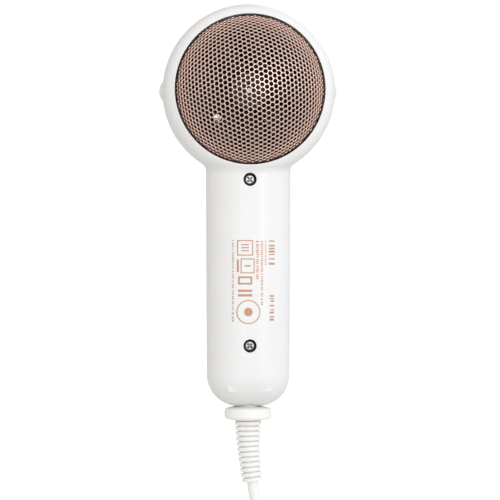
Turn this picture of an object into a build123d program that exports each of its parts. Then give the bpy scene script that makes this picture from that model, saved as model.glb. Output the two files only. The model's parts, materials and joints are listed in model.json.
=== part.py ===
from build123d import *
import os
from math import asin, cos, pi, radians, sin, sqrt, tan

# Hair dryer, in millimetres. +Z runs up from the handle to the head, +Y is the way the air
# blows, and +X is on the right when it is seen from behind. The origin is the grip's middle.
os.makedirs("parts", exist_ok=True)

# ---- Driving dimensions ----------------------------------------------------------------------
AXIS_Z = 95.0  # height of the barrel's axis
WALL = 2.2  # housing wall
GAP = 0.3  # between pieces that move past each other

HEAD_R = 40.2  # widest radius of the head
LIP_R, LIP_Y = 35.5, -19.0  # rear edge of the bezel ring
BORE_R = 34.9  # bore that takes the grille ring
SEAT_R, SEAT_Y = 33.7, (-10.4, -8.5)  # rib that stops the grille ring
HOLDER_R, HOLDER_Y = 33.0, (34.0, 56.0)  # straight stretch where a holder ring goes
NECK_R = 28.2  # barrel at the end of its taper
SPIGOT_R, SPIGOT_Y = 26.6, (84.0, 100.0)  # outlet spigot under the nozzle
SPLIT_Y, SEAM = -1.0, 0.15  # plane where the housings meet, and half their visible seam
TONGUE = 2.0  # how far the rear housing's tongue reaches into the front one

HANDLE_W = (38.6, 39.6)  # width at the bottom and at the top
HANDLE_D = (33.4, 34.4)  # depth at the bottom and at the top
HANDLE_CORNER = 15.5
HANDLE_Z = (-52.5, 75.0)
HANDLE_END_R = 14.5
NECK_FILLET = 4.0

DOME_R, DOME_T = 36.3, 0.5  # domed grille
DOME_RIM_R, DOME_RIM_Y = 34.3, -17.4
SKIRT_END_Y = -13.1
RING_R = 31.6  # inside of the grille ring
FLANGE_Y = (-13.0, -10.6)
FINGER_X, FINGER_TIP_Y = (31.8, 33.0), 3.5  # snap fingers that hold the grille
FINGER_W = 7.0

BUTTON_R, BUTTON_RISE = 4.75, 1.5  # release buttons on the head's flanks
BUTTON_TRAVEL = 1.6

SCREW_Z = (53.3, -23.8)  # housing screws, up the handle's back
RECESS_R, RECESS_FLOOR_Y = 3.1, -11.5
SCREW_R, SCREW_HEAD_R, SCREW_HEAD_H = 1.5, 2.35, 1.9
WASHER_T = 0.9
SCREW_TIP_Y = 9.0

DUCT_R, DUCT_Y = (28.4, 29.6), (-7.5, 27.0)
MOUTH_R = 31.4  # the duct's bell mouth
FAN_R, FAN_Y = 27.7, (-5.5, 4.5)
HUB_R = 9.0
BLADES = 9
VANES = 7
MOTOR_R, MOTOR_Y = 13.9, (8.0, 37.0)
SHAFT_R = 1.15

SLEEVE_R, SLEEVE_Y = (22.4, 23.0), (43.0, 93.0)
MICA_T, MICA_HALF = 1.0, 18.2
WINDING_R, WIRE_R = 19.0, 0.45

PLATE_X, PLATE_Y, PLATE_Z = 7.5, (13.8, 17.7), (6.0, 46.0)  # control plate on the front
KNOB_Z, KNOB_TRAVEL = 16.0, 10.0  # knob's middle when off, and its way up
COOL_Z, COOL_R, COOL_TRAVEL = 38.5, 4.4, 2.0  # cool-shot button
COOL_BASE_Y = 11.4  # its inner end

CORD_D = 5.3
FLOOR_Z = -138.0  # what the coiled cord lies on while the dryer is held up
BOOT_NECK_R = 5.1
COLLAR_Z = (-52.9, -59.2)
BOOT_LENGTH, BOOT_BEND_R = 29.0, 207.0  # the boot is flexed to the right on this radius
RIBS, RIB_PITCH, RIB_T = 12, 2.42, 1.75
RIB_R = (6.2, 4.7)  # first and last
CORE_R = (4.8, 3.1)

COIL_X, COIL_Y = 0.0, 52.0  # coil's middle
COIL_MEAN_R, COIL_COLUMNS, COIL_LAYERS = 30.0, 4, 2
TIE_T = 0.8
COIL_FLOOR_Z = FLOOR_Z + TIE_T + 0.1  # the tie lies under the coil

AXIS = Axis((0, 0, AXIS_Z), (0, 1, 0))
SIDE = Plane.XY.offset(AXIS_Z)  # where profiles that turn about the barrel's axis are drawn


def save(part, name):
    """Labels a finished piece and writes its file."""
    part.label = name
    export_step(part, f"parts/{name}.step")


def facing(y, x=0.0, z=0.0):
    """Sketch plane that faces along the air, with its origin at x, y, z."""
    return Plane(origin=(x, y, z), x_dir=(1, 0, 0), z_dir=(0, 1, 0))


def tube(inner, outer, y_from, y_to, x=0.0, z=AXIS_Z):
    """A tube, or a plain disc when inner is 0, along Y."""
    with BuildPart() as made:
        with BuildSketch(facing(y_from, x, z)):
            Circle(outer)
            if inner:
                Circle(inner, mode=Mode.SUBTRACT)
        extrude(amount=y_to - y_from)
    return made.part


def rod(radius, start, direction, length):
    """A round rod from a start point along a direction."""
    with BuildPart() as made:
        with BuildSketch(Plane(origin=start, z_dir=direction)):
            Circle(radius)
        extrude(amount=length)
    return made.part


def block(x, y, z, corner=0.0):
    """A box between two limits on each axis, with its edges along Y rounded by corner."""
    with BuildPart() as made:
        with Locations((sum(x) / 2, sum(y) / 2, sum(z) / 2)):
            Box(x[1] - x[0], y[1] - y[0], z[1] - z[0])
        if corner:
            fillet(made.edges().filter_by(Axis.Y), corner)
    return made.part


def turned(points):
    """A solid turned about the barrel's axis from its half outline of radius and Y."""
    with BuildPart() as made:
        with BuildSketch(SIDE):
            with BuildLine():
                Polyline(*points, close=True)
            make_face()
        revolve(axis=AXIS)
    return made.part


# ---- Housing ---------------------------------------------------------------------------------
def barrel_solid(inset=0.0):
    """The barrel's outside, or the same form moved in by inset and run out at both ends."""
    rear = LIP_Y - (2.0 if inset else 0.0)
    front = SPIGOT_Y[1] + (2.0 if inset else 0.0)
    with BuildPart() as made:
        with BuildSketch(SIDE):
            with BuildLine():
                Polyline((0, front), (0, rear), (LIP_R - inset, rear))
                if inset:
                    Line((LIP_R - inset, rear), (LIP_R - inset, LIP_Y))
                Spline(
                    (LIP_R - inset, LIP_Y),
                    (HEAD_R - inset, 0),
                    tangents=((0.9, 0.45), (0, 1)),
                )
                Spline(
                    (HEAD_R - inset, 0),
                    (HOLDER_R - inset, HOLDER_Y[0]),
                    tangents=((0, 1), (0, 1)),
                )
                Line((HOLDER_R - inset, HOLDER_Y[0]), (HOLDER_R - inset, HOLDER_Y[1]))
                Spline(
                    (HOLDER_R - inset, HOLDER_Y[1]),
                    (NECK_R - inset, SPIGOT_Y[0] - inset),
                    tangents=((0, 1), (0, 1)),
                )
                Polyline(
                    (NECK_R - inset, SPIGOT_Y[0] - inset),
                    (SPIGOT_R - inset, SPIGOT_Y[0] - inset),
                    (SPIGOT_R - inset, front),
                    (0, front),
                )
            make_face()
        revolve(axis=AXIS)
    return made.part


def handle_solid(inset=0.0):
    """The handle's outside, or the same form moved in by inset."""
    with BuildPart() as made:
        for z, width, depth in zip((HANDLE_Z[0] + inset, HANDLE_Z[1]), HANDLE_W, HANDLE_D):
            with BuildSketch(Plane.XY.offset(z)):
                RectangleRounded(width - 2 * inset, depth - 2 * inset, HANDLE_CORNER - inset)
        loft(ruled=True)
        fillet(made.faces().sort_by(Axis.Z)[0].edges(), HANDLE_END_R - inset)
    return made.part


def body_solid(inset=0.0):
    """Barrel and handle as one form, moved in by inset. The outside has a soft neck."""
    with BuildPart() as made:
        add(barrel_solid(inset))
        add(handle_solid(inset))
        if not inset:
            neck = made.edges(Select.NEW).filter_by(lambda edge: edge.center().Z > 50)
            fillet(neck, NECK_FILLET)
    return made.part


def half_space(y_from, y_to):
    """A block that holds everything between two planes across the air."""
    return block((-60, 60), (y_from, y_to), (-70, 150))


OUTSIDE = body_solid()
INSIDE = body_solid(WALL)
SEAM_FORM = body_solid(WALL / 2)
INNER_DEPTH = HANDLE_D[0] / 2 - WALL  # from the grip's middle to the inner wall

with BuildPart() as rear_housing:
    add(OUTSIDE)
    add(INSIDE, mode=Mode.SUBTRACT)
    add(half_space(SPLIT_Y - SEAM, 130), mode=Mode.SUBTRACT)
    # The tongue that locates the front housing.
    with BuildPart(mode=Mode.PRIVATE) as tongue:
        add(SEAM_FORM)
        add(INSIDE, mode=Mode.SUBTRACT)
        add(half_space(SPLIT_Y - 1.0, SPLIT_Y + TONGUE), mode=Mode.INTERSECT)
    add(tongue.part)
    # The bore for the grille ring, and the rib behind it.
    add(tube(0, BORE_R, LIP_Y - 1, SEAT_Y[0]), mode=Mode.SUBTRACT)
    add(tube(SEAT_R, HEAD_R - WALL, *SEAT_Y))
    # Screw bosses with their recesses.
    for z in SCREW_Z:
        add(tube(0, 4.6, -INNER_DEPTH - 1.0, SPLIT_Y - SEAM, 0, z))
    for z in SCREW_Z:
        add(tube(0, RECESS_R, -30, RECESS_FLOOR_Y, 0, z), mode=Mode.SUBTRACT)
        add(tube(0, SCREW_R + 0.15, -30, 5, 0, z), mode=Mode.SUBTRACT)
    # Posts that the cord clamp is screwed to.
    add(block((-10, 10), (-INNER_DEPTH - 0.5, -CORD_D / 2 - 0.05), (-45, -40)))
    for x in (-7.5, 7.5):
        add(tube(0, 1.25, -12, 0, x, -42.5), mode=Mode.SUBTRACT)
    # Holes for the release buttons and for the boot's neck.
    add(rod(BUTTON_R + GAP, (-60, 0, AXIS_Z), (1, 0, 0), 120), mode=Mode.SUBTRACT)
    add(rod(BOOT_NECK_R + 0.1, (0, 0, -60), (0, 0, 1), 11.5), mode=Mode.SUBTRACT)
save(rear_housing.part, "rear_housing")

with BuildPart() as front_housing:
    add(OUTSIDE)
    add(INSIDE, mode=Mode.SUBTRACT)
    add(half_space(-60, SPLIT_Y + SEAM), mode=Mode.SUBTRACT)
    # The groove for the rear housing's tongue.
    with BuildPart(mode=Mode.PRIVATE) as groove:
        add(body_solid(WALL / 2 - 0.1))
        add(half_space(SPLIT_Y - 1.0, SPLIT_Y + TONGUE + 0.2), mode=Mode.INTERSECT)
    add(groove.part, mode=Mode.SUBTRACT)
    for z in SCREW_Z:
        add(tube(0, 3.8, SPLIT_Y + SEAM, INNER_DEPTH + 1.0, 0, z))
    for z in SCREW_Z:
        add(tube(0, SCREW_R + 0.03, -10, SCREW_TIP_Y + 1.5, 0, z), mode=Mode.SUBTRACT)
    # The window for the control plate.
    plate_hole = block(
        (-PLATE_X - 0.15, PLATE_X + 0.15), (10, 25), (PLATE_Z[0] - 0.15, PLATE_Z[1] + 0.15), 4
    )
    add(plate_hole, mode=Mode.SUBTRACT)
    add(rod(BUTTON_R + GAP, (-60, 0, AXIS_Z), (1, 0, 0), 120), mode=Mode.SUBTRACT)
    add(rod(BOOT_NECK_R + 0.1, (0, 0, -60), (0, 0, 1), 11.5), mode=Mode.SUBTRACT)
save(front_housing.part, "front_housing")

with BuildPart() as housing_screws:
    for z in SCREW_Z:
        head_y = RECESS_FLOOR_Y - WASHER_T - SCREW_HEAD_H
        with BuildPart(mode=Mode.PRIVATE) as screw:
            add(tube(0, SCREW_HEAD_R, head_y, RECESS_FLOOR_Y - WASHER_T, 0, z))
            fillet(screw.faces().sort_by(Axis.Y)[0].edges(), 0.8)
            add(tube(0, SCREW_R, RECESS_FLOOR_Y - WASHER_T, SCREW_TIP_Y, 0, z))
            # The cross recess in the head.
            with BuildSketch(facing(head_y, 0, z)):
                Rectangle(3.0, 0.9, rotation=45)
                Rectangle(0.9, 3.0, rotation=45)
            extrude(amount=1.5, mode=Mode.SUBTRACT)
        add(screw.part)
save(housing_screws.part, "housing_screws")

with BuildPart() as screw_washers:
    for z in SCREW_Z:
        washer_y = (RECESS_FLOOR_Y - WASHER_T, RECESS_FLOOR_Y)
        add(tube(SCREW_R + 0.1, RECESS_R - 0.05, *washer_y, 0, z))
save(screw_washers.part, "screw_washers")

trim_ring = turned(
    [
        (SPIGOT_R, SPIGOT_Y[0]),
        (NECK_R + 0.2, SPIGOT_Y[0]),
        (NECK_R + 0.2, SPIGOT_Y[0] + 2.6),
        (NECK_R - 0.1, SPIGOT_Y[0] + 2.9),
        (SPIGOT_R, SPIGOT_Y[0] + 2.9),
    ]
)
save(trim_ring, "barrel_trim_ring")

# ---- Intake grille ---------------------------------------------------------------------------
DOME_MID_Y = DOME_RIM_Y + sqrt(DOME_R**2 - DOME_RIM_R**2)
with BuildPart() as intake_grille:
    with BuildSketch(SIDE):
        with BuildLine():
            inner_r = DOME_R - DOME_T
            inner_y = DOME_MID_Y - sqrt(inner_r**2 - (DOME_RIM_R - DOME_T) ** 2)
            apex = (0, DOME_MID_Y - DOME_R)
            rim = (DOME_RIM_R, DOME_RIM_Y)
            middle = asin(DOME_RIM_R / DOME_R) / 2
            ThreePointArc(
                apex, (DOME_R * sin(middle), DOME_MID_Y - DOME_R * cos(middle)), rim
            )
            Polyline(
                rim,
                (DOME_RIM_R, SKIRT_END_Y),
                (DOME_RIM_R - DOME_T, SKIRT_END_Y),
                (DOME_RIM_R - DOME_T, inner_y),
            )
            ThreePointArc(
                (DOME_RIM_R - DOME_T, inner_y),
                (inner_r * sin(middle), DOME_MID_Y - inner_r * cos(middle)),
                (0, DOME_MID_Y - inner_r),
            )
            Line((0, DOME_MID_Y - inner_r), apex)
        make_face()
    revolve(axis=AXIS)
save(intake_grille.part, "intake_grille")

ring_outer = DOME_RIM_R - DOME_T - 0.02
grille_ring = turned(
    [
        (RING_R, -16.4),
        (ring_outer, -16.4),
        (ring_outer, FLANGE_Y[0]),
        (BORE_R - 0.2, FLANGE_Y[0]),
        (BORE_R - 0.2, FLANGE_Y[1]),
        (RING_R, FLANGE_Y[1]),
    ]
)
save(grille_ring, "grille_ring")

with BuildPart() as grille_snap_fingers:
    for side in (-1, 1):
        inner, outer = FINGER_X
        with BuildPart(mode=Mode.PRIVATE) as finger:
            with BuildSketch(SIDE):
                with BuildLine():
                    Polyline(
                        (side * inner, FLANGE_Y[1]),
                        (side * outer, FLANGE_Y[1]),
                        (side * outer, SEAT_Y[1] + 0.2),
                        (side * (outer + 1.9), SEAT_Y[1] + 0.2),
                        (side * outer, SEAT_Y[1] + 2.4),
                        (side * outer, FINGER_TIP_Y - 6.5),
                        (side * (outer + 1.6), FINGER_TIP_Y - 6.0),
                        (side * (outer + 1.6), FINGER_TIP_Y),
                        (side * inner, FINGER_TIP_Y),
                        close=True,
                    )
                make_face()
            extrude(amount=FINGER_W / 2, both=True)
        add(finger.part)
save(grille_snap_fingers.part, "grille_snap_fingers")

# ---- Release buttons -------------------------------------------------------------------------
BUTTON_IN_X = FINGER_X[1] + 1.6 + 0.3  # inner end, just off the snap finger
cap_x = HEAD_R - 0.35
apex_x = HEAD_R + BUTTON_RISE
cap_r = (BUTTON_R**2 + (apex_x - cap_x) ** 2) / (2 * (apex_x - cap_x))
cap_middle = asin(BUTTON_R / cap_r) / 2
for side, name in ((-1, "release_button_left"), (1, "release_button_right")):
    with BuildPart() as button:
        with BuildSketch(SIDE):
            with BuildLine():
                Polyline(
                    (side * apex_x, 0),
                    (side * BUTTON_IN_X, 0),
                    (side * BUTTON_IN_X, BUTTON_R + 1.4),
                    (side * (BUTTON_IN_X + 0.9), BUTTON_R + 1.4),
                    (side * (BUTTON_IN_X + 0.9), BUTTON_R),
                    (side * cap_x, BUTTON_R),
                )
                ThreePointArc(
                    (side * cap_x, BUTTON_R),
                    (side * (apex_x - cap_r * (1 - cos(cap_middle))), cap_r * sin(cap_middle)),
                    (side * apex_x, 0),
                )
            make_face()
        revolve(axis=Axis((0, 0, AXIS_Z), (1, 0, 0)))
    save(button.part, name)

# ---- Fan and motor ---------------------------------------------------------------------------
with BuildPart() as fan_duct:
    add(tube(*DUCT_R, *DUCT_Y))
    # The bell mouth, notched where the snap fingers bend inwards.
    add(tube(DUCT_R[0], MOUTH_R, DUCT_Y[0], DUCT_Y[0] + 1.0))
    notch_x = (FINGER_X[0] - BUTTON_TRAVEL - 0.5, MOUTH_R + 1)
    notch = block(notch_x, (DUCT_Y[0] - 1, DUCT_Y[0] + 2), (AXIS_Z - 5, AXIS_Z + 5))
    for turn in (0, 180):
        add(notch.rotate(AXIS, turn), mode=Mode.SUBTRACT)
    add(tube(MOTOR_R + 0.05, MOTOR_R + 1.2, MOTOR_Y[0] + 3, MOTOR_Y[1] - 3))
    # Stator vanes, leaning against the fan's swirl.
    vane_r = MOTOR_R + 0.8
    with BuildPart(mode=Mode.PRIVATE) as vane:
        with BuildSketch(Plane(origin=(vane_r, 18, AXIS_Z), x_dir=(0, 1, 0), z_dir=(1, 0, 0))):
            Rectangle(14, 1.2, rotation=18)
        extrude(amount=DUCT_R[0] + 0.5 - vane_r)
    for index in range(VANES):
        add(vane.part.rotate(AXIS, index * 360 / VANES + 12))
    # Feet that hold the duct in the housing.
    with BuildPart(mode=Mode.PRIVATE) as foot:
        add(block((DUCT_R[1] - 0.4, 34.2), (13, 16), (AXIS_Z - 3, AXIS_Z + 3)))
    for angle in (45, 135, 180 + 45, 270 + 45):
        add(foot.part.rotate(AXIS, angle))
save(fan_duct.part, "fan_duct")

with BuildPart() as fan_impeller:
    add(tube(SHAFT_R, HUB_R, *FAN_Y))
    fillet(fan_impeller.edges().filter_by(GeomType.CIRCLE).sort_by(Axis.Y)[0], 0.8)
    with BuildPart(mode=Mode.PRIVATE) as blade:
        for radius, lean in ((HUB_R - 1.0, 48), (FAN_R, 66)):
            across = Plane(origin=(radius, sum(FAN_Y) / 2, AXIS_Z), x_dir=(0, 1, 0), z_dir=(1, 0, 0))
            with BuildSketch(across):
                Rectangle(10.5, 1.1, rotation=lean)
        loft(ruled=True)
    for index in range(BLADES):
        add(blade.part.rotate(AXIS, index * 360 / BLADES))
save(fan_impeller.part, "fan_impeller")

save(tube(0, SHAFT_R, FAN_Y[0] - 1.5, MOTOR_Y[1] - 1.2), "motor_shaft")

with BuildPart() as motor_can:
    add(tube(MOTOR_R - 1.0, MOTOR_R, *MOTOR_Y))
    add(tube(SHAFT_R + 0.05, MOTOR_R, MOTOR_Y[0], MOTOR_Y[0] + 1.2))
    add(tube(SHAFT_R + 0.05, 3.5, MOTOR_Y[0] - 1.6, MOTOR_Y[0]))
save(motor_can.part, "motor_can")

with BuildPart() as motor_magnets:
    for turn in (0, 180):
        with BuildPart(mode=Mode.PRIVATE) as magnet:
            add(tube(10.6, MOTOR_R - 1.05, MOTOR_Y[0] + 3, MOTOR_Y[1] - 6))
            add(block((1.5, 20), (0, 50), (AXIS_Z - 20, AXIS_Z + 20)), mode=Mode.INTERSECT)
        add(magnet.part.rotate(AXIS, turn))
save(motor_magnets.part, "motor_magnets")

with BuildPart() as motor_armature:
    add(tube(SHAFT_R, 9.9, MOTOR_Y[0] + 5, MOTOR_Y[1] - 9))
    add(tube(SHAFT_R, 4.0, MOTOR_Y[1] - 8.4, MOTOR_Y[1] - 3.4))
    groove_y = (MOTOR_Y[0] + 4, MOTOR_Y[1] - 8.5)
    winding_groove = block((5.5, 11), groove_y, (AXIS_Z - 1.1, AXIS_Z + 1.1))
    for turn in (0, 72, 144, 216, 288):
        add(winding_groove.rotate(AXIS, turn), mode=Mode.SUBTRACT)
save(motor_armature.part, "motor_armature")

with BuildPart() as motor_end_cap:
    add(tube(0, MOTOR_R, MOTOR_Y[1], MOTOR_Y[1] + 2.5))
    add(tube(0, MOTOR_R - 1.1, MOTOR_Y[1] - 1.0, MOTOR_Y[1]))
    add(tube(0, SHAFT_R + 0.05, MOTOR_Y[1] - 2, MOTOR_Y[1] + 1), mode=Mode.SUBTRACT)
save(motor_end_cap.part, "motor_end_cap")

BOARD_Y = MOTOR_Y[1] + 2.5
with BuildPart() as rectifier_board:
    add(tube(0, 12.5, BOARD_Y, BOARD_Y + 1.4))
    for x in (-6, -2, 2, 6):
        add(rod(1.2, (x, BOARD_Y + 2.5, AXIS_Z - 4), (0, 0, 1), 5.5))
        add(rod(0.4, (x, BOARD_Y + 2.5, AXIS_Z - 6), (0, 0, 1), 9.5))
        for z in (AXIS_Z - 5.6, AXIS_Z + 3.1):
            add(rod(0.4, (x, BOARD_Y + 1, z), (0, 1, 0), 1.6))
save(rectifier_board.part, "rectifier_board")

# ---- Heater ----------------------------------------------------------------------------------
save(tube(*SLEEVE_R, *SLEEVE_Y), "mica_sleeve")

with BuildPart() as mica_cross:
    with BuildSketch(facing(SLEEVE_Y[0] + 2.5, 0, AXIS_Z)):
        Rectangle(2 * MICA_HALF, MICA_T)
        Rectangle(MICA_T, 2 * MICA_HALF)
    extrude(amount=46)
save(mica_cross.part, "mica_cross")


def helix_wire(radius, middle, pitch, height, turn_radius):
    """A round wire wound round a line along Y."""
    with BuildPart() as made:
        with BuildLine() as path:
            Helix(pitch, height, turn_radius, center=middle, direction=(0, 1, 0))
        line = path.line
        with BuildSketch(Plane(origin=line @ 0, z_dir=line % 0)):
            Circle(radius)
        sweep(path=line)
    return made.part


def winding(y_from, turns, pitch):
    """A helical heating wire round the mica boards."""
    middle = (0, y_from, AXIS_Z)
    return helix_wire(WIRE_R, middle, pitch, pitch * turns, WINDING_R)


with BuildPart() as heating_coil:
    add(winding(49.0, 5, 3.4))
    add(winding(69.0, 5, 3.4))
save(heating_coil.part, "heating_coil")

with BuildPart() as thermal_cutout:
    add(block((2.0, 12.0), (52, 66), (AXIS_Z + 0.6, AXIS_Z + 4.4)))
    add(rod(3.2, (7, 59, AXIS_Z + 4.4), (0, 0, 1), 1.2))
save(thermal_cutout.part, "thermal_cutout")

with BuildPart() as thermal_fuse:
    add(tube(0, 1.6, 60, 71, -7, AXIS_Z - 2.6))
    add(tube(0, 0.5, 52, 80, -7, AXIS_Z - 2.6))
save(thermal_fuse.part, "thermal_fuse")

with BuildPart() as outlet_grille:
    grille_y = (94.5, 97.5)
    add(tube(22.6, SPIGOT_R - WALL - 0.02, *grille_y))
    for radius in (5.0, 10.0, 15.0, 19.5):
        add(tube(radius - 0.6, radius + 0.6, *grille_y))
    spoke = block((4.8, 23.0), grille_y, (AXIS_Z - 0.6, AXIS_Z + 0.6))
    for index in range(8):
        add(spoke.rotate(AXIS, index * 45 + 22.5))
save(outlet_grille.part, "outlet_grille")

# ---- Concentrator nozzle ---------------------------------------------------------------------
NOZZLE_Y = (SPIGOT_Y[0] + 3.3, SPIGOT_Y[1] + 2.5, 148.0)
NOZZLE_MOUTH = (30.0, 5.25)  # half width and half height
NOZZLE_WALL = 1.5


def nozzle_form(start_y, start_r, wall):
    """From a circle round the barrel's axis to the flat mouth, moved in by wall."""
    mouth_y = NOZZLE_Y[2] + (0.01 if wall else 0.0)
    with BuildPart() as made:
        with BuildSketch(facing(start_y, 0, AXIS_Z)):
            Circle(start_r)
        with BuildSketch(facing(NOZZLE_Y[1] + 9, 0, AXIS_Z)):
            Ellipse(28.5 - wall, 25.0 - wall)
        with BuildSketch(facing(NOZZLE_Y[2] - 12, 0, AXIS_Z)):
            Ellipse(29.6 - wall, 8.4 - wall)
        with BuildSketch(facing(mouth_y, 0, AXIS_Z)):
            Ellipse(NOZZLE_MOUTH[0] - wall, NOZZLE_MOUTH[1] - wall)
        loft()
    return made.part


with BuildPart() as nozzle:
    add(tube(0, NECK_R, NOZZLE_Y[0], NOZZLE_Y[1]))
    add(nozzle_form(NOZZLE_Y[1], NECK_R, 0.0))
    add(nozzle_form(SPIGOT_Y[1] + GAP, SPIGOT_R - 1.0, NOZZLE_WALL), mode=Mode.SUBTRACT)
    add(tube(0, SPIGOT_R + 0.1, NOZZLE_Y[0] - 1, SPIGOT_Y[1] + GAP), mode=Mode.SUBTRACT)
save(nozzle.part, "concentrator_nozzle")

# ---- Controls --------------------------------------------------------------------------------
SLOT_HALF = (2.3, (KNOB_TRAVEL + 5.4) / 2)  # slot in the control plate, half width and height
SLOT_Z = KNOB_Z + KNOB_TRAVEL / 2
with BuildPart() as control_plate:
    add(block((-PLATE_X, PLATE_X), PLATE_Y, PLATE_Z, 3.85))
    fillet(control_plate.faces().sort_by(Axis.Y)[-1].edges(), 0.5)
    add(block((-8.2, 8.2), (12.6, 13.8), (PLATE_Z[0] - 2.5, PLATE_Z[1] + 1.5)))
    slot_z = (SLOT_Z - SLOT_HALF[1], SLOT_Z + SLOT_HALF[1])
    add(block((-SLOT_HALF[0], SLOT_HALF[0]), (5, 25), slot_z), mode=Mode.SUBTRACT)
    add(tube(0, COOL_R + GAP, 5, 25, 0, COOL_Z), mode=Mode.SUBTRACT)
save(control_plate.part, "control_plate")

with BuildPart() as switch_knob:
    add(block((-4.2, 4.2), (PLATE_Y[1] + 0.25, PLATE_Y[1] + 2.9), (KNOB_Z - 5, KNOB_Z + 5), 1.6))
    fillet(switch_knob.faces().sort_by(Axis.Y)[-1].edges(), 0.6)
    ridge_y = (PLATE_Y[1] + 2.3, PLATE_Y[1] + 3.3)
    for step in (-2.4, -0.8, 0.8, 2.4):
        add(block((-3.2, 3.2), ridge_y, (KNOB_Z + step - 0.35, KNOB_Z + step + 0.35)))
    add(block((-1.9, 1.9), (12.0, PLATE_Y[1] + 1.0), (KNOB_Z - 2.4, KNOB_Z + 2.4)))
save(switch_knob.part, "switch_knob")

save(block((-1.9, 1.9), (9.9, 12.0), (KNOB_Z - 2.0, KNOB_Z + 2.0)), "switch_lever")

with BuildPart() as switch_body:
    add(block((-5.5, 5.5), (0.6, 9.6), (9.5, 32.5)))
    for z in (12.0, 18.0, 24.0, 30.0):
        add(block((5.5, 8.5), (3.0, 3.8), (z - 1.2, z + 1.2)))
save(switch_body.part, "switch_body")

save(block((-9.0, 9.0), (-0.9, 0.6), (6.0, 46.0), 1.5), "switch_carrier")

with BuildPart() as cool_shot_button:
    add(tube(0, COOL_R, COOL_BASE_Y + 0.2, PLATE_Y[1] + 1.8, 0, COOL_Z))
    fillet(cool_shot_button.faces().sort_by(Axis.Y)[-1].edges(), 0.7)
    add(tube(0, COOL_R + 0.9, COOL_BASE_Y, COOL_BASE_Y + 0.9, 0, COOL_Z))
save(cool_shot_button.part, "cool_shot_button")

with BuildPart() as cool_shot_microswitch:
    add(block((-3.2, 3.2), (0.6, 6.6), (COOL_Z - 5.0, COOL_Z + 6.5)))
    add(tube(0, 0.9, 6.6, COOL_BASE_Y - COOL_TRAVEL - GAP, 0, COOL_Z))
save(cool_shot_microswitch.part, "cool_shot_microswitch")

save(helix_wire(0.25, (0, 6.9, COOL_Z), 1.0, 4.2, 2.4), "cool_shot_spring")

with BuildPart() as noise_capacitor:
    add(block((-6.5, 6.5), (-3.5, 3.5), (-15.0, -3.0)))
    for x in (-5.0, 5.0):
        add(rod(0.4, (x, 0, -3.0), (0, 0, 1), 4.0))
save(noise_capacitor.part, "noise_capacitor")

# ---- Wires inside the handle -----------------------------------------------------------------
def wire(points, radius, bend):
    """A round wire along straight runs with rounded corners."""
    with BuildPart() as made:
        with BuildLine() as path:
            FilletPolyline(*points, radius=bend)
        route = path.wire()
        with BuildSketch(Plane(origin=route @ 0, z_dir=route % 0)):
            Circle(radius)
        sweep(path=route)
    return made.part


SUPPLY_ROUTE = (
    (1.3, 0.0, -36.8),
    (1.3, 0.0, -34.0),
    (8.5, 0.0, -26.0),
    (8.5, 0.0, -12.0),
    (10.5, 3.4, 2.0),
    (10.5, 3.4, 14.0),
)
HEATER_ROUTE = (
    (10.5, 5.6, 20.0),
    (10.5, 5.6, 42.0),
    (8.0, 9.0, 56.0),
    (8.0, 13.0, 62.5),
    (8.0, 27.5, 65.6),
    (8.0, 41.8, 71.5),
    (8.0, 41.8, 84.0),
)
with BuildPart() as supply_wires:
    for side in (-1, 1):
        add(wire([(side * x, y, z) for x, y, z in SUPPLY_ROUTE], 0.9, 1.5))
save(supply_wires.part, "supply_wires")

with BuildPart() as heater_wires:
    for side in (-1, 1):
        add(wire([(side * x, y, z) for x, y, z in HEATER_ROUTE], 0.8, 2.0))
save(heater_wires.part, "heater_wires")

# ---- Strain relief boot ----------------------------------------------------------------------
BOOT_TOP_Z = COLLAR_Z[1] + 0.1


def boot_plane(distance):
    """Plane across the boot, a distance down its flexed axis."""
    lean = distance / BOOT_BEND_R
    origin = (BOOT_BEND_R * (1 - cos(lean)), 0, BOOT_TOP_Z - BOOT_BEND_R * sin(lean))
    return Plane(origin=origin, x_dir=(cos(lean), 0, sin(lean)), z_dir=(sin(lean), 0, -cos(lean)))


with BuildPart() as cord_boot:
    with BuildSketch(Plane.XZ):
        with BuildLine():
            Polyline(
                (0, -45.5),
                (7.0, -45.5),
                (7.0, -47.5),
                (BOOT_NECK_R, -47.5),
                (BOOT_NECK_R, COLLAR_Z[0]),
                (7.4, COLLAR_Z[0]),
                (9.6, COLLAR_Z[0] - 0.45),
                (10.7, COLLAR_Z[0] - 0.95),
                (11.1, COLLAR_Z[0] - 1.7),
                (11.1, COLLAR_Z[0] - 4.9),
                (10.6, COLLAR_Z[0] - 5.6),
                (7.5, COLLAR_Z[1]),
                (0, COLLAR_Z[1]),
                close=True,
            )
        make_face()
    revolve(axis=Axis.Z)
    for step in range(5):
        share = step / 4
        with BuildSketch(boot_plane(BOOT_LENGTH * share)):
            Circle(CORE_R[0] + (CORE_R[1] - CORE_R[0]) * share)
    loft()
    for index in range(RIBS):
        share = index / (RIBS - 1)
        radius = RIB_R[0] + (RIB_R[1] - RIB_R[0]) * share
        with BuildPart(mode=Mode.PRIVATE) as rib:
            with BuildSketch(boot_plane(0.6 + RIB_PITCH * index)):
                Circle(radius)
            extrude(amount=RIB_T)
            fillet(rib.edges(), 0.45)
        add(rib.part)
save(cord_boot.part, "cord_boot")

with BuildPart() as cord_tail:
    add(rod(CORD_D / 2, (0, 0, -45.5), (0, 0, 1), 8.5))
save(cord_tail.part, "cord_tail")

with BuildPart() as cord_clamp:
    add(block((-10, 10), (CORD_D / 2 + 0.05, 6.0), (-45, -40)))
    for x in (-7.5, 7.5):
        add(tube(0, 1.3, 0, 10, x, -42.5), mode=Mode.SUBTRACT)
save(cord_clamp.part, "cord_clamp")

with BuildPart() as clamp_screws:
    for x in (-7.5, 7.5):
        add(tube(0, 2.4, 6.0, 7.6, x, -42.5))
        add(tube(0, 1.2, -9.0, 6.0, x, -42.5))
save(clamp_screws.part, "clamp_screws")

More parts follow.
